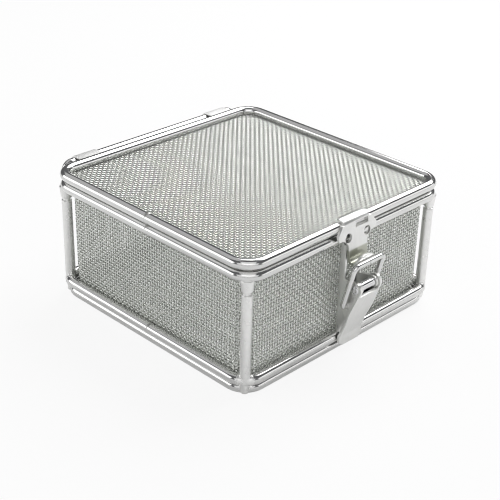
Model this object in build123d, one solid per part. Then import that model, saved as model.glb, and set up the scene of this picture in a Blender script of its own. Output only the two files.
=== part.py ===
from build123d import *
import math
import os

# Small sterilization basket: a square box of fine wire mesh carried by round rods,
# with a hinged mesh lid and an over-centre draw latch on the front.
# Millimetres, +Z up, the latch faces -Y and the hinge is at +Y.

# Overall sizes
plan_width = 80.0          # side to side, over the rods
plan_depth = 80.0          # front to back, over the rods
height = 40.0              # from the table to the top of the lid's rod
rod_d = 3.0                # every frame rod and the hinge bar
ring_corner_r = 5.5        # rod centreline at the corners of the rings

# Clearances
weld_gap = 0.05            # between pieces that are welded together
lid_gap = 0.3              # between the closed lid's rod and the rim
run_gap = 0.06             # radial, at every pin that turns
side_gap = 0.1             # sheet beside sheet in the latch

# Stacking ring
stacking_inset = 0.8       # how far it sits inside the bottom ring, on every side
foot_flat = 0.1            # ground off its underside, so that the basket stands flat
stub_d = 2.4               # short pegs that tie the two lower rings at the corners
stub_lift = 0.5            # pegs end this far above the table

# Woven mesh, drawn as a flat net of fewer, wider gaps
mesh_t = 0.6               # two crossing wires
mesh_corner_r = 6.0        # outside of the mesh at the corners
mesh_lip = 0.4             # the wall mesh ends this far below the middle of the rim
lid_mesh_drop = 1.2        # the lid mesh lies this far below the middle of its rod
wall_net_pitch = 2.6
flat_net_pitch = 4.4
net_bar = 0.9

# Hinge
hinge_post_x = 33.0        # middle of each leg of the hinge bar
hinge_bend_r = 2.0         # centreline radius of the bar's bends
hinge_leg_below = 1.2      # the legs end this far below the middle of the rim
hinge_gap = 0.2            # between the bar and the lid's rod, all round the swing
strap_t = 0.3
strap_w = 8.0
strap_x = 26.0             # middle of each strap
strap_wrap = 235.0         # degrees that the strap curls round the bar, from its top

# Latch, all of sheet and wire
latch_t = 0.8              # sheet of the base, lever and keeper
pivot_out = 5.0            # lever pivot, outwards from the face of the rods
pivot_z = 22.1
pin_r = 0.8
pin_head_r = 1.3
pin_head_t = 0.3
sleeve_r = 1.3             # bright spacer sleeve on the pin
ear_in_x = 2.7             # inner face of each ear of the base
ear_r = 1.7                # round of the ears about the pivot
ear_high_z = 22.6          # where the ears' upper edges leave the flanges
ear_to_lever = 0.3         # between the ears and the plate of the closed lever
flange_out = 0.4           # flanges above the ears, outwards from the face of the rods
flange_low_z = 6.3
flange_top_z = 33.2
base_set_in = 0.6          # back of the channel, inwards from the face of the rods
window_half_w = 2.0        # window in the back of the channel
window_low_z = 16.5
window_top_z = 31.2

# Lever
cheek_r = 2.1              # round of the lever's cheeks about the pivot
lever_top_out = 6.4        # front of the lever's upper edge, outwards from the rods
lever_top_z = 20.1
lever_foot_out = 1.1       # front of the lever's straight tip
lever_foot_z = 5.6
lever_tip_z = 2.5
lever_half_top = 4.5       # half widths, from the top down
lever_half_mid = 5.0
lever_mid_z = 14.5
lever_half_waist = 4.2
lever_waist_z = 8.6
lever_half_tip = 4.6
lever_tip_cut = 1.2        # corners cut off the tip
cheek_end_z = 11.0         # where the lever's cheeks run out into its plate

# Bail
wire_r = 0.8
bail_leg_x = 5.9           # middle of each leg
bail_pivot_out = 2.3       # bail pivot on the lever, outwards from the rods
bail_pivot_z = 16.0
bail_boss_r = 1.6          # lever cheek round the bail's lower bar
bail_bend = 1.5            # centreline radius of the wire's four bends
bail_gap = 0.2             # between the resting bail and the hook's lip

# Keeper
keeper_half_w = 7.7
keeper_top_half = 5.8
keeper_wing_z = 37.2       # widest level
keeper_low_half = 7.4      # lower corners of the wings
keeper_low_z = 35.5
keeper_neck_half = 3.7
keeper_neck_z = 32.5       # the neck's straight sides begin
keeper_lean = 6.5          # degrees that the plate stands off the rim
keeper_wrap_start = 70.0   # degrees, inner end of the tab over the lid's rod
keeper_hole_r = 1.3
keeper_hole_x = 3.75
keeper_hole_z = 35.8
keeper_tab_half = 5.0
slot_from_x = -0.8         # slot under the tab
slot_to_x = 4.3
slot_low_z = 38.0
slot_high_z = 39.6
hook_z = 30.0              # middle of the hook's bend
hook_gap = 0.2             # round the bail's wire in the hook
lip_rise = 1.1             # middle of the arched lip, above the middle of the bend
lip_drop = 0.4             # corners of the lip, below the middle of the bend

rod_r = rod_d / 2
ring_half_x = plan_width / 2 - rod_r
ring_half_y = plan_depth / 2 - rod_r
front_face = -plan_depth / 2

stacking_z = rod_r - foot_flat
bottom_z = stacking_z + rod_d + weld_gap
lid_z = height - rod_r
rim_z = lid_z - rod_d - lid_gap

nodes = {}


def out(distance):
    """Y of a plane that stands this far outwards from the front face of the rods."""
    return front_face - distance


def ring(z, inset=0.0, grow=0.0):
    """Rod bent to a square with round corners, its centreline at height z."""
    half_x = ring_half_x - inset
    half_y = ring_half_y - inset
    path = Pos(0, 0, z) * RectangleRounded(2 * half_x, 2 * half_y, ring_corner_r).wire()
    section = Plane(origin=path @ 0, z_dir=path % 0) * Circle(rod_r + grow)
    return sweep(section, path=path)


def largest(shape):
    """Main solid of a cut, without the crumbs beside it."""
    return max(shape.solids(), key=lambda solid: solid.volume)


def x_sheet(profile, from_x, to_x):
    """Profile in the Y-Z plane, given its width along X."""
    return Pos(from_x, 0, 0) * extrude(Plane.YZ * profile, amount=to_x - from_x)


def x_rod(y, z, radius, from_x, to_x):
    """Round bar along X."""
    return Plane(origin=(from_x, y, z), z_dir=(1, 0, 0)) * extrude(Circle(radius), amount=to_x - from_x)


def both_sides(shape):
    """A piece and its mirror image across the middle plane."""
    return shape + mirror(shape, about=Plane.YZ)


def net(width, length, pitch, corner_r=0.0):
    """Flat net as one holed face, centred, in the X-Y plane."""
    columns = max(1, round((width - net_bar) / pitch))
    rows = max(1, round((length - net_bar) / pitch))
    step_x = (width - net_bar) / columns
    step_y = (length - net_bar) / rows
    gap = Rectangle(step_x - net_bar, step_y - net_bar)
    gap_reach = math.hypot(step_x - net_bar, step_y - net_bar) / 2 + net_bar
    holes = []
    for i in range(columns):
        for k in range(rows):
            x = (i + 0.5) * step_x - (width - net_bar) / 2
            y = (k + 0.5) * step_y - (length - net_bar) / 2
            over_x = abs(x) - (width / 2 - corner_r)
            over_y = abs(y) - (length / 2 - corner_r)
            in_corner = corner_r > 0 and over_x > 0 and over_y > 0
            if in_corner and math.hypot(over_x, over_y) + gap_reach > corner_r:
                continue
            holes.append((Pos(x, y) * gap).wire())
    outline = RectangleRounded(width, length, corner_r) if corner_r > 0 else Rectangle(width, length)
    return Face(outline.wire(), holes)


# Frame: four rings of rod, four corner posts and the pegs between the lower rings
bottom_ring = ring(bottom_z)
stacking_ring = ring(stacking_z, stacking_inset)
table = Pos(0, 0, -rod_d) * Box(plan_width, plan_depth, 2 * rod_d)
nodes["bottom_ring"] = bottom_ring
nodes["rim_ring"] = ring(rim_z)
nodes["stacking_ring"] = largest(stacking_ring - table)

bottom_cut = ring(bottom_z, grow=weld_gap)
rim_cut = ring(rim_z, grow=weld_gap)
stacking_cut = ring(stacking_z, stacking_inset, grow=weld_gap)
corner_in = ring_corner_r * (1 - math.sqrt(0.5))
post_x = ring_half_x - corner_in
post_y = ring_half_y - corner_in
stubs = []
for side_x, across in ((-1, "left"), (1, "right")):
    for side_y, along in ((-1, "front"), (1, "back")):
        foot = Pos(side_x * post_x, side_y * post_y, bottom_z)
        post = foot * extrude(Circle(rod_r), amount=rim_z - bottom_z)
        nodes[f"corner_post_{along}_{across}"] = largest(post - bottom_cut - rim_cut)
        under = Pos(side_x * post_x, side_y * post_y, stub_lift)
        peg = under * extrude(Circle(stub_d / 2), amount=bottom_z - stub_lift)
        stubs.append(largest(peg - bottom_cut - stacking_cut))
nodes["foot_stubs"] = Compound(stubs)

# Mesh: a floor, four walls with rounded corners between them, and the lid's panel
floor_z = stacking_z + rod_r + weld_gap / 2
ring_bite = math.sqrt(rod_r**2 - (rod_r - mesh_t / 2) ** 2)
floor_half_x = ring_half_x - stacking_inset - ring_bite - weld_gap
floor_half_y = ring_half_y - stacking_inset - ring_bite - weld_gap
floor_corner = ring_corner_r - ring_bite - weld_gap
floor_net = net(2 * floor_half_x, 2 * floor_half_y, flat_net_pitch, floor_corner)
nodes["floor_mesh"] = Pos(0, 0, floor_z - mesh_t / 2) * extrude(floor_net, amount=mesh_t)

wall_low = floor_z + mesh_t / 2 + weld_gap
wall_high = rim_z - mesh_lip
wall_mid = (wall_low + wall_high) / 2
wall_x = ring_half_x - rod_r - weld_gap
wall_y = ring_half_y - rod_r - weld_gap
front_net = extrude(net(2 * (wall_x - mesh_corner_r), wall_high - wall_low, wall_net_pitch), amount=mesh_t)
side_net = extrude(net(2 * (wall_y - mesh_corner_r), wall_high - wall_low, wall_net_pitch), amount=mesh_t)
nodes["mesh_wall_front"] = Pos(0, -wall_y + mesh_t, wall_mid) * Rot(90, 0, 0) * front_net
nodes["mesh_wall_back"] = Pos(0, wall_y, wall_mid) * Rot(90, 0, 0) * front_net
nodes["mesh_wall_left"] = Pos(-wall_x, 0, wall_mid) * Rot(0, 0, 90) * Rot(90, 0, 0) * side_net
nodes["mesh_wall_right"] = Pos(wall_x - mesh_t, 0, wall_mid) * Rot(0, 0, 90) * Rot(90, 0, 0) * side_net

bend_out = Circle(mesh_corner_r)
bend_in = Circle(mesh_corner_r - mesh_t)
bend_quarter = Pos(mesh_corner_r / 2, mesh_corner_r / 2) * Rectangle(mesh_corner_r, mesh_corner_r)
bend = extrude((bend_out - bend_in) & bend_quarter, amount=wall_high - wall_low)
bend_x = wall_x - mesh_corner_r + weld_gap
bend_y = wall_y - mesh_corner_r + weld_gap
corners = (
    ("back_right", 1, 1, 0),
    ("back_left", -1, 1, 90),
    ("front_left", -1, -1, 180),
    ("front_right", 1, -1, 270),
)
for name, side_x, side_y, turn in corners:
    place = Pos(side_x * bend_x, side_y * bend_y, wall_low) * Rot(0, 0, turn)
    nodes[f"mesh_corner_{name}"] = place * bend

lid_bite = math.sqrt(rod_r**2 - max(0.0, lid_mesh_drop - mesh_t / 2) ** 2)
lid_half_x = ring_half_x - lid_bite - weld_gap
lid_half_y = ring_half_y - lid_bite - weld_gap
lid_net = net(2 * lid_half_x, 2 * lid_half_y, flat_net_pitch, ring_corner_r - lid_bite - weld_gap)
nodes["lid_mesh"] = Pos(0, 0, lid_z - lid_mesh_drop - mesh_t / 2) * extrude(lid_net, amount=mesh_t)
nodes["lid_ring"] = ring(lid_z)
lid_cut = ring(lid_z, grow=weld_gap)

# Hinge: a bar with two bent legs on the rim, and two straps that carry the lid
strap_in_r = rod_r + run_gap
strap_out_r = strap_in_r + strap_t
hinge_drop = strap_out_r - rod_r
hinge_z = lid_z - hinge_drop
hinge_y = ring_half_y + math.sqrt((rod_d + hinge_gap) ** 2 - hinge_drop**2)
leg_low_z = rim_z - hinge_leg_below
bar_points = [
    (-hinge_post_x, hinge_y, leg_low_z),
    (-hinge_post_x, hinge_y, hinge_z),
    (hinge_post_x, hinge_y, hinge_z),
    (hinge_post_x, hinge_y, leg_low_z),
]
bar_path = FilletPolyline(bar_points, radius=min(hinge_bend_r, hinge_z - leg_low_z - weld_gap))
nodes["hinge_bar"] = sweep(Plane(origin=bar_path @ 0, z_dir=bar_path % 0) * Circle(rod_r), path=bar_path)

strap_line = CenterArc((hinge_y, hinge_z), (strap_in_r + strap_out_r) / 2, 90 - strap_wrap, strap_wrap)
strap_tab = Pos((ring_half_y + hinge_y) / 2, hinge_z + (strap_in_r + strap_out_r) / 2) * Rectangle(
    hinge_y - ring_half_y, strap_t
)
strap_profile = trace(strap_line, strap_t) + strap_tab
for side, name in ((-1, "left"), (1, "right")):
    middle = side * strap_x
    strap = x_sheet(strap_profile, middle - strap_w / 2, middle + strap_w / 2)
    nodes[f"hinge_strap_{name}"] = largest(strap - lid_cut)

# Keeper: one sheet that laps over the lid's rod and ends below in the hook for the bail
keeper_mid_r = rod_r + weld_gap + latch_t / 2
lean = math.radians(keeper_lean)
lap_end = 180 - keeper_lean
lap = CenterArc((-ring_half_y, lid_z), keeper_mid_r, keeper_wrap_start, lap_end - keeper_wrap_start)
lap_low = lap @ 1
hook_r = wire_r + hook_gap + latch_t / 2
plate_low_z = hook_z - hook_r * math.sin(lean)
plate_low_y = lap_low.X - (lap_low.Y - plate_low_z) * math.tan(lean)
hook_y = plate_low_y - hook_r * math.cos(lean)
plate_run = Line((lap_low.X, lap_low.Y), (plate_low_y, plate_low_z))
curl = CenterArc((hook_y, hook_z), hook_r, -keeper_lean, keeper_lean - 180)
lip_run = Line(curl @ 1, (hook_y - hook_r, hook_z + lip_rise))
keeper_sheet = x_sheet(trace(lap + plate_run + curl + lip_run, latch_t), -keeper_half_w, keeper_half_w)
neck_top = (keeper_neck_half, keeper_neck_z)
wing_low = (keeper_low_half, keeper_low_z)
wing_curve = TangentArc(neck_top, wing_low, tangent=(0, 1))
wing_top = Polyline(
    [
        wing_low,
        (keeper_half_w, keeper_wing_z),
        (keeper_top_half, slot_high_z),
        (keeper_tab_half, slot_high_z),
        (keeper_tab_half, height + rod_d),
        (0, height + rod_d),
        (0, 0),
        (keeper_neck_half, 0),
        neck_top,
    ]
)
half_front = make_face(Curve() + [wing_curve, wing_top])
keeper_front = half_front + mirror(half_front, about=Plane.YZ)
keeper_front -= Pos((slot_from_x + slot_to_x) / 2, (slot_low_z + slot_high_z) / 2) * Rectangle(
    slot_to_x - slot_from_x, slot_high_z - slot_low_z
)
for side in (-1, 1):
    keeper_front -= Pos(side * keeper_hole_x, keeper_hole_z) * Circle(keeper_hole_r)
keeper_block = extrude(Plane.XZ * keeper_front, amount=plan_depth)
lip_corner = (keeper_neck_half, hook_z - lip_drop)
lip_arch = ThreePointArc((-lip_corner[0], lip_corner[1]), (0, hook_z + lip_rise), lip_corner)
above_lip = Polyline(
    [
        lip_corner,
        (keeper_half_w, lip_corner[1]),
        (keeper_half_w, hook_z + 2 * lip_rise),
        (-keeper_half_w, hook_z + 2 * lip_rise),
        (-keeper_half_w, lip_corner[1]),
        (-lip_corner[0], lip_corner[1]),
    ]
)
lip_waste = Pos(0, hook_y, 0) * extrude(
    Plane.XZ * make_face(Curve() + [lip_arch, above_lip]), amount=2 * (hook_r + latch_t)
)
nodes["keeper"] = largest((keeper_sheet & keeper_block) - lip_waste)

# Latch base: a channel between the rods, whose flanges widen into the lever's ears
pivot = (out(pivot_out), pivot_z)
plate_front = out(-base_set_in)
plate_mid = plate_front + latch_t / 2
base_half_w = ear_in_x + latch_t
base_plate = Pos(0, plate_mid, (bottom_z + rim_z) / 2) * Box(2 * base_half_w, latch_t, rim_z - bottom_z)
base_plate -= Pos(0, plate_mid, (window_low_z + window_top_z) / 2) * Box(
    2 * window_half_w, 2 * latch_t, window_top_z - window_low_z
)
lever_slope = (lever_top_out - lever_foot_out) / (lever_top_z - lever_foot_z)
ear_from_front = (latch_t + ear_to_lever) * math.hypot(1, lever_slope)
ear_low_out = lever_foot_out + lever_slope * (flange_low_z - lever_foot_z) - ear_from_front
ear_high_out = ear_low_out + lever_slope * (pivot_z - flange_low_z)
ear_edge = Polyline(
    [
        (plate_mid, flange_low_z),
        (out(ear_low_out), flange_low_z),
        (out(ear_high_out), pivot_z),
        (pivot[0], pivot_z + ear_r),
        (plate_mid, ear_high_z),
    ],
    close=True,
)
flange_front = out(flange_out)
ear_profile = make_face(ear_edge) + Pos(*pivot) * Circle(ear_r)
ear_profile += Pos((flange_front + plate_mid) / 2, (flange_low_z + flange_top_z) / 2) * Rectangle(
    plate_mid - flange_front, flange_top_z - flange_low_z
)
ear_profile -= Pos(*pivot) * Circle(pin_r + run_gap)
ear = x_sheet(ear_profile, ear_in_x, base_half_w)
nodes["latch_base"] = largest(base_plate + both_sides(ear) - bottom_cut - rim_cut)

sleeve = x_rod(*pivot, sleeve_r, -ear_in_x + side_gap, ear_in_x - side_gap)
nodes["latch_sleeve"] = sleeve - x_rod(*pivot, pin_r + run_gap, -ear_in_x, ear_in_x)

# Lever: a bent plate with two cheeks outside the ears
cheek_in_x = base_half_w + side_gap
cheek_out_x = cheek_in_x + latch_t
lever_line = FilletPolyline(
    [
        (out(lever_top_out) + latch_t / 2, lever_top_z),
        (out(lever_foot_out) + latch_t / 2, lever_foot_z),
        (out(lever_foot_out) + latch_t / 2, lever_tip_z),
    ],
    radius=latch_t,
)
lever_sheet = x_sheet(trace(lever_line, latch_t), -lever_half_mid, lever_half_mid)
lever_side = Spline(
    [
        (lever_half_top, lever_top_z + latch_t),
        (lever_half_mid, lever_mid_z),
        (lever_half_waist, lever_waist_z),
        (lever_half_tip, lever_tip_z + lever_tip_cut),
    ],
    tangents=[(0, -1), (0, -1)],
)
lever_edge = Polyline(
    [
        (lever_half_tip, lever_tip_z + lever_tip_cut),
        (lever_half_tip - lever_tip_cut, lever_tip_z),
        (0, lever_tip_z),
    ]
)
lever_close = Polyline(
    [
        (0, lever_tip_z),
        (0, lever_top_z + latch_t),
        (lever_half_top, lever_top_z + latch_t),
    ]
)
half_lever = make_face(Curve() + [lever_side, lever_edge, lever_close])
lever_front = half_lever + mirror(half_lever, about=Plane.YZ)
lever_plate = lever_sheet & extrude(Plane.XZ * lever_front, amount=plan_depth)

bail_pivot = (out(bail_pivot_out), bail_pivot_z)
cheek_end_out = lever_foot_out + lever_slope * (cheek_end_z - lever_foot_z)
plate_edge = Line(
    (out(lever_top_out) + latch_t / 2, lever_top_z),
    (out(cheek_end_out) + latch_t / 2, cheek_end_z),
)
cheek_profile = make_hull(
    [plate_edge, CenterArc(pivot, cheek_r, 0, 360), CenterArc(bail_pivot, bail_boss_r, 0, 360)]
)
cheek_profile -= Pos(*pivot) * Circle(pin_r + run_gap)
cheek_profile -= Pos(*bail_pivot) * Circle(wire_r + run_gap)
cheek = x_sheet(cheek_profile, cheek_in_x, cheek_out_x)
nodes["lever"] = largest(lever_plate + both_sides(cheek))

# Pivot pin: fixed in the ears, with a head outside each cheek
head_x = cheek_out_x + side_gap
pin = x_rod(*pivot, pin_r, -head_x - pin_head_t, head_x + pin_head_t)
head = x_rod(*pivot, pin_head_r, head_x, head_x + pin_head_t)
nodes["latch_pin"] = largest(pin + both_sides(head))

# Bail: a bent wire with its ends in the lever's cheeks, long enough to drop into the hook.
# It rests in front of the hook's lip.
in_hook = (hook_y, hook_z - hook_gap)
bail_length = math.hypot(in_hook[0] - bail_pivot[0], in_hook[1] - bail_pivot[1])
bail_top_y = hook_y - hook_r - latch_t / 2 - bail_gap - wire_r
bail_top_z = bail_pivot_z + math.sqrt(bail_length**2 - (bail_top_y - bail_pivot[0]) ** 2)
bail_tilt = math.degrees(math.atan2(bail_pivot[0] - bail_top_y, bail_top_z - bail_pivot_z))
bail_points = [
    (-cheek_in_x, 0),
    (-bail_leg_x, 0),
    (-bail_leg_x, bail_length),
    (bail_leg_x, bail_length),
    (bail_leg_x, 0),
    (cheek_in_x, 0),
]
bail_path = Pos(0, *bail_pivot) * Rot(90 + bail_tilt, 0, 0) * FilletPolyline(bail_points, radius=bail_bend)
nodes["bail"] = sweep(Plane(origin=bail_path @ 0, z_dir=bail_path % 0) * Circle(wire_r), path=bail_path)

# The origin is below the middle of the whole basket, on the table
boxes = [piece.bounding_box() for piece in nodes.values()]
front_y = min(box.min.Y for box in boxes)
back_y = max(box.max.Y for box in boxes)
low_z = min(box.min.Z for box in boxes)
shift_y = -(front_y + back_y) / 2
os.makedirs("parts", exist_ok=True)
for name, piece in nodes.items():
    export_step(Pos(0, shift_y, 0) * piece, f"parts/{name}.step")

print(f"shift {shift_y:.4f}")
print(f"front {front_y:.3f}, back {back_y:.3f}, foot at {low_z:.4f}")
print(f"lid hinge y {hinge_y + shift_y:.4f} z {hinge_z:.4f}")
print(f"lever pivot y {pivot[0] + shift_y:.4f} z {pivot[1]:.4f}")
print(f"bail pivot y {bail_pivot[0] + shift_y:.4f} z {bail_pivot[1]:.4f}")
print(f"bail top y {bail_top_y + shift_y:.4f} z {bail_top_z:.4f}, length {bail_length:.3f}")
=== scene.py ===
import math

import bpy
from mathutils import Matrix, Vector


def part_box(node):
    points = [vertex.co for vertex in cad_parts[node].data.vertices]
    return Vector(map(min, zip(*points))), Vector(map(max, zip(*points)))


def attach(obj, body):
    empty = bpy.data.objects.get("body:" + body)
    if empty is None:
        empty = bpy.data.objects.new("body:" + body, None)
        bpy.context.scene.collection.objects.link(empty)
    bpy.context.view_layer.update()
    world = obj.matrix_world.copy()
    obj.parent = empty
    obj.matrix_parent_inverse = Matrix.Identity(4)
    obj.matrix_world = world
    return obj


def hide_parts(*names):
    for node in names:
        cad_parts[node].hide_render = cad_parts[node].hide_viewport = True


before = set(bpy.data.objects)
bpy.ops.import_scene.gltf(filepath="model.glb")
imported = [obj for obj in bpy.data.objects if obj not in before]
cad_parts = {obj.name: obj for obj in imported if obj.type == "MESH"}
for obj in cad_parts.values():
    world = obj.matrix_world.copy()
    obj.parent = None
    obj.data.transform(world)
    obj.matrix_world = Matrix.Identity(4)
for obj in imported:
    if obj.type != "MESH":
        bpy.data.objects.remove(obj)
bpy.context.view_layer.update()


# The frame of the basket and the border of its lid: rings of 3 mm stainless rod, bent to a
# square, butt-welded on one straight side and polished to a mirror. The lowest ring is ground
# flat underneath, so that the basket stands still.
merge_gap = 2e-6


def take_up(piece=None):
    """Leave nothing selected but this piece."""
    if bpy.context.mode != "OBJECT":
        bpy.ops.object.mode_set(mode="OBJECT")
    bpy.ops.object.select_all(action="DESELECT")
    if piece:
        piece.select_set(True)
        bpy.context.view_layer.objects.active = piece


def edit_all():
    """Open the piece for shaping, with all of it selected."""
    bpy.ops.object.mode_set(mode="EDIT")
    bpy.ops.mesh.select_all(action="SELECT")


def skin_out():
    """Merge what meets, and turn every face outwards."""
    bpy.ops.mesh.select_all(action="SELECT")
    bpy.ops.mesh.remove_doubles(threshold=merge_gap)
    bpy.ops.mesh.normals_make_consistent(inside=False)
    bpy.ops.object.mode_set(mode="OBJECT")


def close_ends():
    """Put a flat face on each open end of a rod."""
    bpy.ops.mesh.select_all(action="SELECT")
    bpy.ops.mesh.region_to_loop()
    bpy.ops.mesh.edge_face_add()
    skin_out()


def fasten(piece, name, body, finish, nodes=(), crease=40.0):
    """Name and finish a piece, and fix it to the body that it belongs to."""
    take_up(piece)
    bpy.ops.object.transform_apply(location=True, rotation=True, scale=True)
    bpy.ops.object.shade_smooth_by_angle(angle=math.radians(crease))
    piece.name = piece.data.name = name
    piece.data.materials.clear()
    piece.data.materials.append(finish.material)
    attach(piece, body)
    if nodes:
        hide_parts(*nodes)
    return piece


def bent_rod(start, heading, radius, sides, runs):
    """Draw a round rod from start along heading, through its straight runs and its bends.

    A short length at each end of a run keeps the run's shading free of the bend's.
    """
    heading = Vector(heading)
    at = Vector(start)
    take_up()
    bpy.ops.mesh.primitive_circle_add(
        vertices=sides,
        radius=radius,
        fill_type="NOTHING",
        location=at,
        rotation=heading.to_track_quat("Z", "Y").to_euler(),
    )
    edit_all()
    for kind, *how in runs:
        if kind == "run":
            short = min(0.4 * radius, 0.2 * how[0])
            for length in (short, how[0] - 2 * short, short):
                bpy.ops.mesh.extrude_region_move(TRANSFORM_OT_translate={"value": heading * length})
            at += heading * how[0]
        else:
            inwards, bend_r, angle, steps = how
            centre = at + Vector(inwards) * bend_r
            axis = heading.cross(Vector(inwards))
            bpy.ops.mesh.spin(steps=steps, angle=-angle, center=centre, axis=axis)
            turn = Matrix.Rotation(angle, 3, axis)
            at = centre + turn @ (at - centre)
            heading = turn @ heading
    return bpy.context.object


class Amount:
    """A value inside a finish, which sums and products can be written with."""

    def __init__(self, finish, socket):
        self.finish = finish
        self.socket = socket

    def __add__(self, other):
        return self.finish.sum("ADD", self, other)

    def __mul__(self, other):
        return self.finish.sum("MULTIPLY", self, other)

    __radd__ = __add__
    __rmul__ = __mul__


class Finish:
    """The surface of one kind of steel, mixed from nodes."""

    def __init__(self, name, **fixed):
        self.material = bpy.data.materials.new(name)
        self.material.use_nodes = True
        self.tree = self.material.node_tree
        self.surface = self.tree.nodes["Principled BSDF"]
        for socket, value in fixed.items():
            self.feed(self.surface.inputs[socket.replace("_", " ").title()], value)

    def feed(self, socket, value):
        if isinstance(value, Amount):
            self.tree.links.new(value.socket, socket)
        else:
            socket.default_value = value

    def node(self, kind, output, settings=None, **sockets):
        made = self.tree.nodes.new("ShaderNode" + kind)
        for setting, value in (settings or {}).items():
            setattr(made, setting, value)
        for socket, value in sockets.items():
            index = int(socket[1:]) if socket[1:].isdigit() else socket.replace("_", " ")
            self.feed(made.inputs[index], value)
        return Amount(self, made.outputs[output])

    def sum(self, operation, first, second):
        return self.node("Math", 0, {"operation": operation}, i0=first, i1=second)

    def place(self, x=1.0, y=1.0, z=1.0):
        """Place on the piece, stretched along its axes."""
        where = self.node("TexCoord", "Object")
        return self.node("Mapping", 0, Vector=where, Scale=(x, y, z))

    def cloud(self, scale, detail=2.0, where=None):
        """Soft random patches, 0 to 1, this many to the metre."""
        where = where or self.place()
        return self.node("TexNoise", "Fac", Vector=where, Scale=scale, Detail=detail)

    def band(self, value, low, high):
        """0 below low, 1 above high, and smooth between them."""
        settings = {"interpolation_type": "SMOOTHSTEP"}
        return self.node("MapRange", 0, settings, Value=value, From_Min=low, From_Max=high)

    def along(self, axis):
        """Place on the piece along X, Y or Z."""
        return self.node("SeparateXYZ", axis, Vector=self.node("TexCoord", "Object"))

    def tint(self, share, first, second):
        """A colour between two others."""
        first, second = (c if isinstance(c, Amount) else (*c, 1) for c in (first, second))
        return self.node("Mix", 2, {"data_type": "RGBA"}, i0=share, i6=first, i7=second)

    def relief(self, height, depth):
        """Bumps, this deep in metres."""
        bump = self.node("Bump", 0, Height=height, Distance=depth, Strength=1.0)
        self.feed(self.surface.inputs["Normal"], bump)

    def colour(self, value):
        self.feed(self.surface.inputs["Base Color"], value)

    def roughness(self, value):
        self.feed(self.surface.inputs["Roughness"], value)


polish = Finish("rod_polish", metallic=1.0)
smears = polish.cloud(90.0, 3.0)
polish.colour(polish.tint(smears, (0.70, 0.70, 0.69), (0.78, 0.78, 0.77)))
polish.roughness(0.11 + 0.12 * polish.cloud(260.0, 4.0) * smears)
polish.relief(polish.cloud(420.0, 1.0), 0.000004)

middle_y = (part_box("rim_ring")[0].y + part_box("rim_ring")[1].y) / 2
rod_r = 0.0015
rod_sides = 32
rod_bend_steps = 14
ring_bend_r = 0.0055
cut_gap = 1e-6
right_angle = math.pi / 2


def ring_of_rod(node, body):
    """A square ring, cut flat underneath where its CAD node is."""
    low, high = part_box(node)
    half = (high.x - low.x) / 2 - rod_r
    z = high.z - rod_r
    side = 2 * (half - ring_bend_r)
    runs = [("run", side / 2)]
    for inwards in ((1, 0, 0), (0, 1, 0), (-1, 0, 0), (0, -1, 0)):
        runs += [("bend", inwards, ring_bend_r, right_angle, rod_bend_steps), ("run", side)]
    runs[-1] = ("run", side / 2)
    ring = bent_rod((-half, middle_y, z), (0, -1, 0), rod_r, rod_sides, runs)
    skin_out()
    if low.z > z - rod_r + cut_gap:
        edit_all()
        bpy.ops.mesh.bisect(plane_co=low, plane_no=(0, 0, 1), clear_inner=True, threshold=cut_gap)
        bpy.ops.mesh.bridge_edge_loops()
        skin_out()
    fasten(ring, node.replace("ring", "rod"), body, polish, [node])


for node, body in (
    ("rim_ring", "basket"),
    ("bottom_ring", "basket"),
    ("stacking_ring", "basket"),
    ("lid_ring", "lid"),
):
    ring_of_rod(node, body)


# Butt welds: where the two ends of each ring meet, a narrow bead stands a little proud of the
# rod. It was brushed over after the rod was polished, so it is duller.
bead = Finish("butt_weld", metallic=1.0)
grain = bead.cloud(2600.0, 3.0)
bead.colour(bead.tint(grain, (0.26, 0.26, 0.25), (0.62, 0.62, 0.60)))
bead.roughness(0.22 + 0.2 * grain)
bead.relief(grain, 0.00003)

bead_half = 0.0006
bead_rise = 0.00018
bead_back = 0.0011
bead_steps = 6


def butt_weld(name, node, body):
    """A narrow swelling round the left side of a ring."""
    low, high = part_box(node)
    x = low.x + rod_r + bead_rise
    bead_y = middle_y - bead_back
    z = high.z - rod_r
    take_up()
    bpy.ops.mesh.primitive_circle_add(
        vertices=rod_sides,
        radius=rod_r,
        fill_type="NOTHING",
        location=(x, bead_y - bead_half, z),
        rotation=(right_angle, 0, 0),
    )
    edit_all()
    along = 2 * bead_half / bead_steps
    for k in range(bead_steps):
        rise = [bead_rise * math.sin(math.pi * n / bead_steps) for n in (k, k + 1)]
        grow = (rod_r + rise[1]) / (rod_r + rise[0])
        bpy.ops.mesh.extrude_region_move(TRANSFORM_OT_translate={"value": (0, along, 0)})
        centre = (x, bead_y - bead_half + (k + 1) * along, z)
        bpy.ops.transform.resize(value=(grow, 1, grow), center_override=centre)
    skin_out()
    fasten(bpy.context.object, name, body, bead)


butt_weld("butt_weld_lid", "lid_ring", "lid")
butt_weld("butt_weld_rim", "rim_ring", "basket")
butt_weld("butt_weld_bottom", "bottom_ring", "basket")


# Corner posts: straight rods set under the rim, one in each corner, with a peg below each that
# ties the two lower rings. Their welds run out over the bends of the rings and were ground
# smooth to a satin grey.
satin = Finish("post_satin", metallic=1.0)
haze = satin.cloud(500.0, 4.0)
satin.colour(satin.tint(haze, (0.80, 0.80, 0.785), (0.90, 0.90, 0.885)))
satin.roughness(0.22 + 0.14 * haze)
satin.relief(satin.cloud(3800.0, 2.0), 0.000012)

quarter_names = {(-1, -1): "front_left", (1, -1): "front_right", (-1, 1): "back_left", (1, 1): "back_right"}
ring_half = 0.0385
bend_centre = ring_half - ring_bend_r
rim_reach = math.radians(13.6)
bottom_reach = math.radians(21.25)
stacking_inset = 0.0008
collar_drop = 0.0043
collar_groove = 0.0008
foot_z = 0.0006
peg_r = 0.0011
peg_top_r = 0.0012
weld_voxel = 0.00016
smoothings = 7


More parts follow.
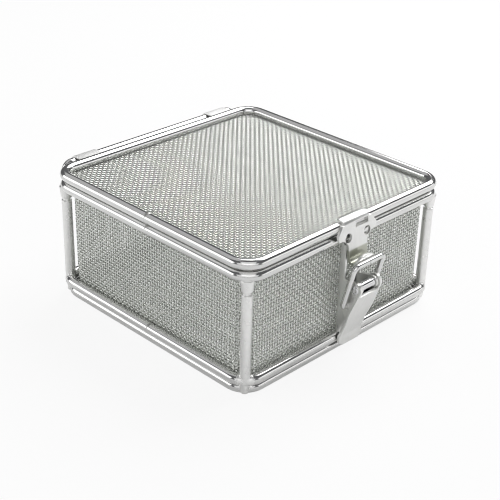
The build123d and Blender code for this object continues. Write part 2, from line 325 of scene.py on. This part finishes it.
def weld_saddle(side_x, side_y, z, inset, radius, reach):
    """A short length of the ring's bend, about as thick as the rod, where weld ran along it."""
    corner = Vector((side_x * (bend_centre - inset), middle_y + side_y * (bend_centre - inset), z))
    middle = math.atan2(side_y, side_x)
    outwards = Vector((math.cos(middle - reach), math.sin(middle - reach), 0))
    heading = Vector((-outwards.y, outwards.x, 0))
    runs = [("bend", -outwards, ring_bend_r, 2 * reach, 8)]
    saddle = bent_rod(corner + outwards * ring_bend_r, heading, radius, 24, runs)
    close_ends()
    return saddle


def round_bar(x, y, low_z, high_z, radius, top_radius):
    """An upright bar, which may widen towards its top."""
    take_up()
    bpy.ops.mesh.primitive_cone_add(
        vertices=rod_sides,
        radius1=radius,
        radius2=top_radius,
        depth=high_z - low_z,
        location=(x, y, (low_z + high_z) / 2),
    )
    return bpy.context.object


for (side_x, side_y), quarter_name in quarter_names.items():
    post_low, post_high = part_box(f"corner_post_{quarter_name}")
    x, y = (post_low.x + post_high.x) / 2, (post_low.y + post_high.y) / 2
    rim_z, bottom_z, stacking_z = (
        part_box(node)[1].z - rod_r for node in ("rim_ring", "bottom_ring", "stacking_ring")
    )
    collar_z = rim_z - collar_drop
    parts = [
        # The post, the groove at its top, and the collar of weld that spreads up to the rim
        round_bar(x, y, bottom_z, collar_z - collar_groove, rod_r, rod_r),
        round_bar(x, y, collar_z - 0.0015, collar_z + 0.001, rod_r * 0.7, rod_r * 0.7),
        round_bar(x, y, collar_z, rim_z - 0.0008, rod_r * 1.05, rod_r * 1.32),
        # The welds along the rim and the bottom ring
        weld_saddle(side_x, side_y, rim_z - 0.0004, 0.0, rod_r * 0.88, rim_reach),
        weld_saddle(side_x, side_y, bottom_z, 0.0, rod_r * 1.045, bottom_reach),
        # The peg, and its weld on the smaller stacking ring
        round_bar(x, y, foot_z, bottom_z, peg_r, peg_top_r),
        weld_saddle(side_x, side_y, stacking_z + 0.0003, stacking_inset, rod_r * 0.97, rim_reach),
    ]
    take_up(parts[0])
    for part in parts[1:]:
        part.select_set(True)
    bpy.ops.object.join()
    post = bpy.context.object
    bpy.ops.object.transform_apply(location=True, rotation=True, scale=True)
    melt = post.modifiers.new("melt", "REMESH")
    melt.mode = "VOXEL"
    melt.voxel_size = weld_voxel
    bpy.ops.object.modifier_apply(modifier="melt")
    soften = post.modifiers.new("soften", "SMOOTH")
    soften.factor = 0.5
    soften.iterations = smoothings
    bpy.ops.object.modifier_apply(modifier="soften")
    nodes = [f"corner_post_{quarter_name}"]
    if quarter_name == "front_left":
        nodes.append("foot_stubs")
    fasten(post, f"post_{quarter_name}", "basket", satin, nodes, crease=80.0)


# Wire cloth: plain-woven 0.4 mm stainless wire, one wire to the millimetre. A square of it is
# the floor, laid between the two lower rings, and another fills the lid. The walls are one
# band of it, wound inside the posts round the four corners.
cloth_steel = Finish("wire_cloth", metallic=1.0)
patches = cloth_steel.cloud(220.0, 3.0)
cloth_steel.colour(cloth_steel.tint(patches, (0.72, 0.735, 0.70), (0.80, 0.815, 0.78)))
cloth_steel.roughness(0.20 + 0.08 * patches)

flat_wire_r = 0.00021
wall_wire_r = 0.000225
cloth_crimp = 0.00018
corner_cut_back = 0.0013


def repeat(piece, count, offset):
    """Lay copies side by side, and join the ends that meet."""
    array = piece.modifiers.new("repeat", "ARRAY")
    array.count = count
    array.use_relative_offset = False
    array.use_constant_offset = True
    array.constant_offset_displace = offset
    array.use_merge_vertices = True
    array.merge_threshold = merge_gap
    bpy.ops.object.modifier_apply(modifier="repeat")


def crimped_wires(wires, cells, between, cell, wire_r):
    """Wires along X, each crimped over and under its crossings in turn."""
    take_up()
    bpy.ops.mesh.primitive_circle_add(
        vertices=4,
        radius=wire_r,
        fill_type="NOTHING",
        location=(0, between / 2, 0),
        rotation=(0, right_angle, 0),
    )
    edit_all()
    for rise in (cloth_crimp, -cloth_crimp, -cloth_crimp, cloth_crimp):
        bpy.ops.mesh.extrude_region_move(TRANSFORM_OT_translate={"value": (cell / 2, 0, rise)})
    bpy.ops.mesh.select_all(action="SELECT")
    bpy.ops.mesh.duplicate_move(TRANSFORM_OT_translate={"value": (0, between, 0)})
    bpy.ops.transform.resize(value=(1, 1, -1), center_override=(0, 0, 0))
    skin_out()
    sheet = bpy.context.object
    bpy.ops.object.transform_apply(location=True, rotation=True, scale=True)
    repeat(sheet, cells // 2, (2 * cell, 0, 0))
    repeat(sheet, wires // 2, (0, 2 * between, 0))
    return sheet


def wire_cloth(columns, rows, width, length, wire_r):
    """A woven rectangle with one corner at the origin."""
    warp = crimped_wires(rows, columns, length / rows, width / columns, wire_r)
    weft = crimped_wires(columns, rows, width / columns, length / rows, wire_r)
    weft.rotation_mode = "AXIS_ANGLE"
    weft.rotation_axis_angle = (math.pi, 1, 1, 0)
    take_up(weft)
    bpy.ops.object.transform_apply(location=True, rotation=True, scale=True)
    warp.select_set(True)
    bpy.context.view_layer.objects.active = warp
    bpy.ops.object.join()
    return warp


def flat_cloth(node, cells, body):
    """A square of cloth in place of a flat net, its corners cut off inside the rod."""
    low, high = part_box(node)
    middle = (low + high) / 2
    width = high.x - low.x
    cloth = wire_cloth(cells, cells, width, width, flat_wire_r)
    cloth.location = (low.x, low.y, middle.z)
    bpy.ops.object.transform_apply(location=True, rotation=True, scale=True)
    edit_all()
    cut = width / 2 - corner_cut_back
    for side_x, side_y in quarter_names:
        corner = middle + Vector((side_x * cut, side_y * cut, 0))
        bpy.ops.mesh.select_all(action="SELECT")
        bpy.ops.mesh.bisect(plane_co=corner, plane_no=(side_x, side_y, 0), clear_outer=True)
    bpy.ops.object.mode_set(mode="OBJECT")
    fasten(cloth, node.replace("mesh", "cloth"), body, cloth_steel, [node], crease=180.0)


flat_cloth("floor_mesh", 74, "basket")
flat_cloth("lid_mesh", 76, "lid")

wall_low, wall_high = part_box("mesh_wall_front")
wall_half = wall_high.x
wall_mid_y = (wall_low.y + wall_high.y) / 2 - middle_y
corner_mid_r = -wall_mid_y - wall_half
wall_run = 2 * wall_half
wall_length = wall_run + corner_mid_r * right_angle
wall_columns, wall_rows = 72, 32
quarter_handle = 0.5523

route = bpy.data.curves.new("wall_route", "CURVE")
route.dimensions = "3D"
route.twist_mode = "Z_UP"
route.resolution_u = 48
bends = route.splines.new("BEZIER")
bends.bezier_points.add(2)
handle = corner_mid_r * quarter_handle
start = Vector((-wall_half, wall_mid_y, 0))
bend_start = Vector((wall_half, wall_mid_y, 0))
bend_end = Vector((wall_half + corner_mid_r, wall_mid_y + corner_mid_r, 0))
along_x, along_y = Vector((1, 0, 0)), Vector((0, 1, 0))
for point, at, behind, ahead in zip(
    bends.bezier_points,
    (start, bend_start, bend_end),
    (-along_x * wall_run / 3, -along_x * wall_run / 3, -along_y * handle),
    (along_x * wall_run / 3, along_x * handle, along_y * handle),
):
    point.co, point.handle_left, point.handle_right = at, at + behind, at + ahead
former = bpy.data.objects.new("wall_route", route)
bpy.context.collection.objects.link(former)

strip = wire_cloth(wall_columns, wall_rows, wall_length, wall_high.z - wall_low.z, wall_wire_r)
strip.rotation_euler = (right_angle, 0, 0)
strip.location = (0, 0, wall_low.z)
bpy.ops.object.transform_apply(location=True, rotation=True, scale=True)
wrap = strip.modifiers.new("wrap", "CURVE")
wrap.object = former
wrap.deform_axis = "POS_X"
bpy.ops.object.modifier_apply(modifier="wrap")
bpy.data.objects.remove(former)
for turns, (wall, corner) in enumerate(
    (("front", "front_right"), ("right", "back_right"), ("back", "back_left"), ("left", "front_left"))
):
    side = bpy.data.objects.new("side", strip.data.copy())
    bpy.context.collection.objects.link(side)
    side.matrix_world = Matrix.Translation((0, middle_y, 0)) @ Matrix.Rotation(turns * right_angle, 4, "Z")
    nodes = [f"mesh_wall_{wall}", f"mesh_corner_{corner}"]
    fasten(side, f"wall_cloth_{wall}", "basket", cloth_steel, nodes, crease=180.0)
bpy.data.objects.remove(strip)


# Hinge: a length of the same polished rod, its two ends bent down and welded to the rim behind
# the lid. The lid hangs on it by two straps of 0.3 mm strip, curled round the bar.
bar_low, bar_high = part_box("hinge_bar")
bar_bend_r = 0.0020
bar_half = bar_high.x - rod_r
bar_y = (bar_low.y + bar_high.y) / 2
bar_z = bar_high.z - rod_r
leg = bar_z - bar_bend_r - bar_low.z
bar_runs = [
    ("run", leg),
    ("bend", (1, 0, 0), bar_bend_r, right_angle, rod_bend_steps),
    ("run", 2 * (bar_half - bar_bend_r)),
    ("bend", (0, 0, -1), bar_bend_r, right_angle, rod_bend_steps),
    ("run", leg),
]
bar = bent_rod((-bar_half, bar_y, bar_low.z), (0, 0, 1), rod_r, rod_sides, bar_runs)
close_ends()
fasten(bar, "hinge_rod", "basket", polish, ["hinge_bar"], crease=50.0)

leg_weld_r = 0.0011
leg_weld_shape = (1.5, 0.8, 0.8)
leg_weld_ripple = 0.00008
rim_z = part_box("rim_ring")[1].z - rod_r
rim_back_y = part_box("rim_ring")[1].y - rod_r
for side, side_name in ((-1, "left"), (1, "right")):
    weld_at = (side * bar_half, (bar_y + rim_back_y) / 2, rim_z)
    take_up()
    bpy.ops.mesh.primitive_uv_sphere_add(segments=24, ring_count=12, radius=leg_weld_r, location=weld_at)
    edit_all()
    bpy.ops.transform.resize(value=leg_weld_shape, center_override=weld_at)
    bpy.ops.transform.vertex_random(offset=leg_weld_ripple, seed=side + 2)
    bpy.ops.object.mode_set(mode="OBJECT")
    fasten(bpy.context.object, f"hinge_weld_{side_name}", "basket", bead, crease=80.0)

strap_satin = Finish("strap_satin", metallic=1.0)
wipe = strap_satin.cloud(700.0, 3.0, strap_satin.place(0.2, 1.0, 1.0))
strap_satin.colour(strap_satin.tint(wipe, (0.88, 0.88, 0.865), (0.97, 0.97, 0.96)))
strap_satin.roughness(0.45 + 0.15 * wipe)
strap_satin.relief(wipe, 0.000006)


def pressed_sheet(node, name, body, finish, edge, crease=35.0):
    """A sheet part as it leaves the press: the CAD shape, with its cut edges rounded."""
    sheet = bpy.data.objects.new(name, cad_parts[node].data.copy())
    bpy.context.collection.objects.link(sheet)
    take_up(sheet)
    bpy.ops.mesh.customdata_custom_splitnormals_clear()
    edit_all()
    bpy.ops.mesh.remove_doubles(threshold=merge_gap)
    bpy.ops.mesh.dissolve_limited(angle_limit=math.radians(0.5))
    bpy.ops.object.mode_set(mode="OBJECT")
    round_off = sheet.modifiers.new("round_off", "BEVEL")
    round_off.width = edge
    round_off.segments = 3
    round_off.limit_method = "ANGLE"
    round_off.angle_limit = math.radians(crease)
    bpy.ops.object.modifier_apply(modifier="round_off")
    fasten(sheet, name, body, finish, [node], crease)


strap_edge_r = 0.00008
for side_name in ("left", "right"):
    pressed_sheet(
        f"hinge_strap_{side_name}", f"strap_{side_name}", "lid", strap_satin, strap_edge_r
    )


# Keeper: a pressed sheet that laps over the lid's front rod and is welded to it. Below its two
# round holes a narrow neck leads down to a hook, rolled outwards to take the bail. The hollow
# of the neck, behind the hook's lip, has painted shade: its colour is darkened to olive grey.
def rubbed(finish):
    """Give a sheet the sheen of rubbing along its height, and return its streaks."""
    streaks = finish.cloud(900.0, 4.0, finish.place(1.0, 1.0, 0.12))
    finish.roughness(0.26 + 0.16 * streaks)
    return streaks


keeper_satin = Finish("keeper_satin", metallic=1.0)
keeper_streaks = rubbed(keeper_satin)
neck_top_z, neck_shade_fade = 0.0325, 0.0007
lip_y, lip_shade_fade = -0.0420, 0.0008
# Painted shade: below the plate and behind the lip, in the hollow of the neck, the colour is darkened to
# olive grey.
painted_shade_below_plate = keeper_satin.band(keeper_satin.along("Z"), neck_top_z, neck_top_z - neck_shade_fade)
painted_shade_behind_lip = keeper_satin.band(keeper_satin.along("Y"), lip_y, lip_y + lip_shade_fade)
keeper_plain = keeper_satin.tint(keeper_streaks, (0.78, 0.78, 0.76), (0.88, 0.88, 0.865))
keeper_satin.colour(keeper_satin.tint(0.9 * (painted_shade_below_plate * painted_shade_behind_lip), keeper_plain, (0.44, 0.45, 0.38)))
keeper_satin.relief(keeper_streaks, 0.000006)
latch_edge_r = 0.00014
pressed_sheet("keeper", "keeper_plate", "lid", keeper_satin, latch_edge_r)


# Latch base: a channel of 0.8 mm sheet, welded between the rim and the bottom ring. Its two
# flanges widen into the ears that carry the lever's pin. Below the pin, between the ears, the
# back of the channel is painted near-black blue: painted shade of the recess behind the lever,
# with a blue heat tint from the welding.
channel_satin = Finish("channel_satin", metallic=1.0)
channel_back_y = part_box("latch_base")[1].y
flange_inner_x, flange_fade = 0.0029, 0.0002
back_depth, back_fade = 0.0016, 0.0006
heat_tint_shade_low_z, heat_tint_shade_high_z = 0.0105, 0.0200
across = channel_satin.along("X")
upwards = channel_satin.along("Z")
inner = channel_satin.band(across * across, flange_inner_x**2, (flange_inner_x - flange_fade) ** 2)
in_ears = channel_satin.band(
    channel_satin.along("Y"), channel_back_y - back_depth, channel_back_y - back_depth - back_fade
)
near_pin = channel_satin.band(upwards, heat_tint_shade_low_z, heat_tint_shade_low_z + 0.0030) * channel_satin.band(
    upwards, heat_tint_shade_high_z, heat_tint_shade_high_z - 0.0012
)
channel_streaks = rubbed(channel_satin)
channel_plain = channel_satin.tint(channel_streaks, (0.74, 0.74, 0.72), (0.86, 0.86, 0.845))
# Painted shade with a blue heat tint: the back of the channel between the ears, below the pin, is darkened
# almost to black.
heat_tint_and_shade = inner * in_ears * near_pin
channel_satin.colour(channel_satin.tint(heat_tint_and_shade, channel_plain, (0.05, 0.05, 0.10)))
channel_satin.relief(channel_streaks, 0.000006)
channel_edge_r = 0.00012
pressed_sheet("latch_base", "latch_channel", "basket", channel_satin, channel_edge_r)


# Pin and sleeve: a bright turned pin with two domed heads is riveted through the ears. The
# sleeve on it, with a collar at each end, keeps the ears apart.
bright = Finish("turned_bright", metallic=1.0)
rings = bright.cloud(1500.0, 3.0, bright.place(6.0, 0.3, 0.3))
bright.colour(bright.tint(rings, (0.68, 0.68, 0.69), (0.80, 0.80, 0.80)))
bright.roughness(0.05 + 0.08 * rings)
bright.relief(rings, 0.000003)


def turned(name, node, centre, half_profile):
    """A turned part along X: radius against distance from its middle, the same on both sides."""
    profile = [(-x, r) for x, r in reversed(half_profile)] + half_profile
    take_up()
    start_x, start_r = profile[0]
    bpy.ops.mesh.primitive_circle_add(
        vertices=40,
        radius=start_r,
        fill_type="NGON",
        location=(centre.x + start_x, centre.y, centre.z),
        rotation=(0, right_angle, 0),
    )
    edit_all()
    for (from_x, from_r), (to_x, to_r) in zip(profile, profile[1:]):
        bpy.ops.mesh.extrude_region_move(TRANSFORM_OT_translate={"value": (to_x - from_x, 0, 0)})
        bpy.ops.transform.resize(
            value=(1, to_r / from_r, to_r / from_r),
            center_override=(centre.x + to_x, centre.y, centre.z),
        )
    skin_out()
    fasten(bpy.context.object, name, "basket", bright, [node], crease=30.0)


pin_low, pin_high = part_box("latch_pin")
pin_at = (pin_low + pin_high) / 2
shank_r = 0.0008
head_r = (pin_high.z - pin_low.z) / 2
head_x = pin_high.x
head_start = head_x - 0.0004
half_pin = [
    (0.0001, shank_r),
    (head_start, shank_r),
    (head_start, head_r),
    (head_x - 0.00022, head_r),
    (head_x - 0.0001, head_r * 0.88),
    (head_x, head_r * 0.55),
]
turned("lever_pin", "latch_pin", pin_at, half_pin)

sleeve_low, sleeve_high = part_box("latch_sleeve")
sleeve_r = (sleeve_high.z - sleeve_low.z) / 2
sleeve_end = sleeve_high.x
half_sleeve = [
    (0.0002, sleeve_r * 0.93),
    (sleeve_end - 0.0006, sleeve_r * 0.93),
    (sleeve_end - 0.0005, sleeve_r * 0.99),
    (sleeve_end - 0.00008, sleeve_r),
    (sleeve_end, sleeve_r * 0.94),
]
turned("spacer_sleeve", "latch_sleeve", pin_at, half_sleeve)


# Lever: one bent sheet with two cheeks that straddle the ears. The plate narrows at its waist
# and ends in a flat tip for the finger.
brushed = Finish("sheet_satin", metallic=1.0)
lever_streaks = rubbed(brushed)
specks = brushed.cloud(5200.0, 2.0)
brushed.colour(brushed.tint(lever_streaks, (0.80, 0.80, 0.78), (0.90, 0.90, 0.885)))
brushed.relief(specks + lever_streaks, 0.000006)
pressed_sheet("lever", "lever_plate", "lever", brushed, latch_edge_r)


# Bail: 1.6 mm bright wire, bent to a loop whose lower ends turn into holes in the lever's
# cheeks. The loop is closed by a slanting butt joint in the middle of its upper bar.
wire_low, wire_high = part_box("bail")
wire_r = 0.0008
wire_sides = 24
wire_bend_r = 0.0015
wire_bend_steps = 12
wire_end_x = 0.0036
wire_leg_x = wire_high.x - wire_r
wire_foot = Vector((0, wire_high.y - wire_r, wire_low.z + wire_r))
wire_top = Vector((0, wire_low.y + wire_r, wire_high.z - wire_r))
up = (wire_top - wire_foot).normalized()
tall = (wire_top - wire_foot).length
foot_run = wire_leg_x - wire_end_x - wire_bend_r
leg_run = tall - 2 * wire_bend_r
top_run = 2 * (wire_leg_x - wire_bend_r)
wire_runs = [("run", foot_run)]
for inwards, run in ((up, leg_run), ((1, 0, 0), top_run), (-up, leg_run), ((-1, 0, 0), foot_run)):
    wire_runs += [("bend", inwards, wire_bend_r, right_angle, wire_bend_steps), ("run", run)]
wire_start = wire_foot + Vector((-wire_end_x, 0, 0))
loop = bent_rod(wire_start, (-1, 0, 0), wire_r, wire_sides, wire_runs)
close_ends()
fasten(loop, "bail_wire", "bail", polish, ["bail"], crease=50.0)

joint_slant = math.radians(38)
joint_half = 0.00009
take_up()
bpy.ops.mesh.primitive_circle_add(
    vertices=wire_sides,
    radius=wire_r * 1.03,
    fill_type="NOTHING",
    location=wire_top - Vector((joint_half, 0, 0)),
    rotation=(0, right_angle, 0),
)
edit_all()
bpy.ops.mesh.extrude_region_move(TRANSFORM_OT_translate={"value": (2 * joint_half, 0, 0)})
bpy.ops.mesh.select_all(action="SELECT")
bpy.ops.transform.rotate(value=joint_slant, orient_axis="Z", center_override=wire_top)
bpy.ops.transform.resize(value=(1, 1 / math.cos(joint_slant), 1), center_override=wire_top)
skin_out()
fasten(bpy.context.object, "bail_joint", "bail", bead)


# The table is a plain pale surface. A bright soft panel high on the right is the main light. Five
# fainter ones, low and high on the left, right, front and back, give the steel its softer bands.
pale = Finish("pale_table", base_color=(0.93, 0.93, 0.93, 1), roughness=0.9)
seen = 0.88 * pale.node("LightPath", "Is Camera Ray") + 0.1 * pale.node("LightPath", "Is Glossy Ray")
white = pale.node("Emission", 0, Color=(1, 1, 1, 1), Strength=1.0)
board = Amount(pale, pale.surface.outputs[0])
blank = pale.node("MixShader", 0, i0=seen, i1=board, i2=white)
pale.feed(pale.tree.nodes["Material Output"].inputs["Surface"], blank)
take_up()
bpy.ops.mesh.primitive_plane_add(size=8.0, location=(0, 0, 0))
table = bpy.context.object
table.name = "table_top"
table.data.materials.append(pale.material)

room = bpy.data.worlds.new("room")
bpy.context.scene.world = room
room.use_nodes = True
room.node_tree.nodes["Background"].inputs["Color"].default_value = (0.12, 0.12, 0.125, 1)
room.node_tree.nodes["Background"].inputs["Strength"].default_value = 1.0


def soft_panel(name, direction, distance, width, tall, radiance):
    """A lamp of even light that faces the basket."""
    lamp = bpy.data.lights.new(name, "AREA")
    lamp.shape = "RECTANGLE"
    lamp.size, lamp.size_y = width, tall
    lamp.energy = radiance * math.pi * width * tall
    panel = bpy.data.objects.new(name, lamp)
    bpy.context.collection.objects.link(panel)
    towards = Vector(direction).normalized()
    panel.location = Vector((0, 0, 0.020)) + towards * distance
    panel.rotation_euler = towards.to_track_quat("Z", "Y").to_euler()


soft_panel("panel_right", (0.635, 0.107, 0.765), 0.6, 0.535, 0.42, 4.2)
soft_panel("panel_right_low", (0.635, -0.745, 0.20), 0.8, 0.9, 0.28, 1.0)
soft_panel("panel_left", (-0.76, 0.60, 0.27), 0.6, 0.6, 0.30, 1.6)
soft_panel("panel_above", (-0.05, 0.55, 0.83), 0.7, 0.7, 0.6, 0.40)
soft_panel("panel_front", (-0.66, -0.66, 0.36), 1.0, 1.7, 0.7, 0.72)
soft_panel("panel_high", (-0.45, -0.50, 0.74), 0.9, 0.8, 0.8, 0.66)

azimuth, elevation, tilt = math.radians(224.32), math.radians(27.89), math.radians(1.60)
away = Vector(
    (math.cos(elevation) * math.cos(azimuth), math.cos(elevation) * math.sin(azimuth), math.sin(elevation))
)
level = (-away).cross(Vector((0, 0, 1))).normalized()
upright = level.cross(-away)
right = level * math.cos(tilt) + upright * math.sin(tilt)
top = upright * math.cos(tilt) - level * math.sin(tilt)
middle_z = 0.020
off_right, off_down = 0.000892, 0.004515
camera_distance = 0.3371
aim = Vector((0, middle_y, middle_z)) + right * off_right - top * off_down
lens = bpy.data.cameras.new("camera")
lens.lens = 82.9
lens.clip_start = 0.01
camera = bpy.data.objects.new("camera", lens)
bpy.context.collection.objects.link(camera)
turned_to_aim = Matrix((right, top, away)).transposed().to_4x4()
camera.matrix_world = Matrix.Translation(aim + away * camera_distance) @ turned_to_aim
bpy.context.scene.camera = camera
bpy.context.scene.view_settings.view_transform = "Standard"
bpy.context.scene.cycles.filter_width = 1.1
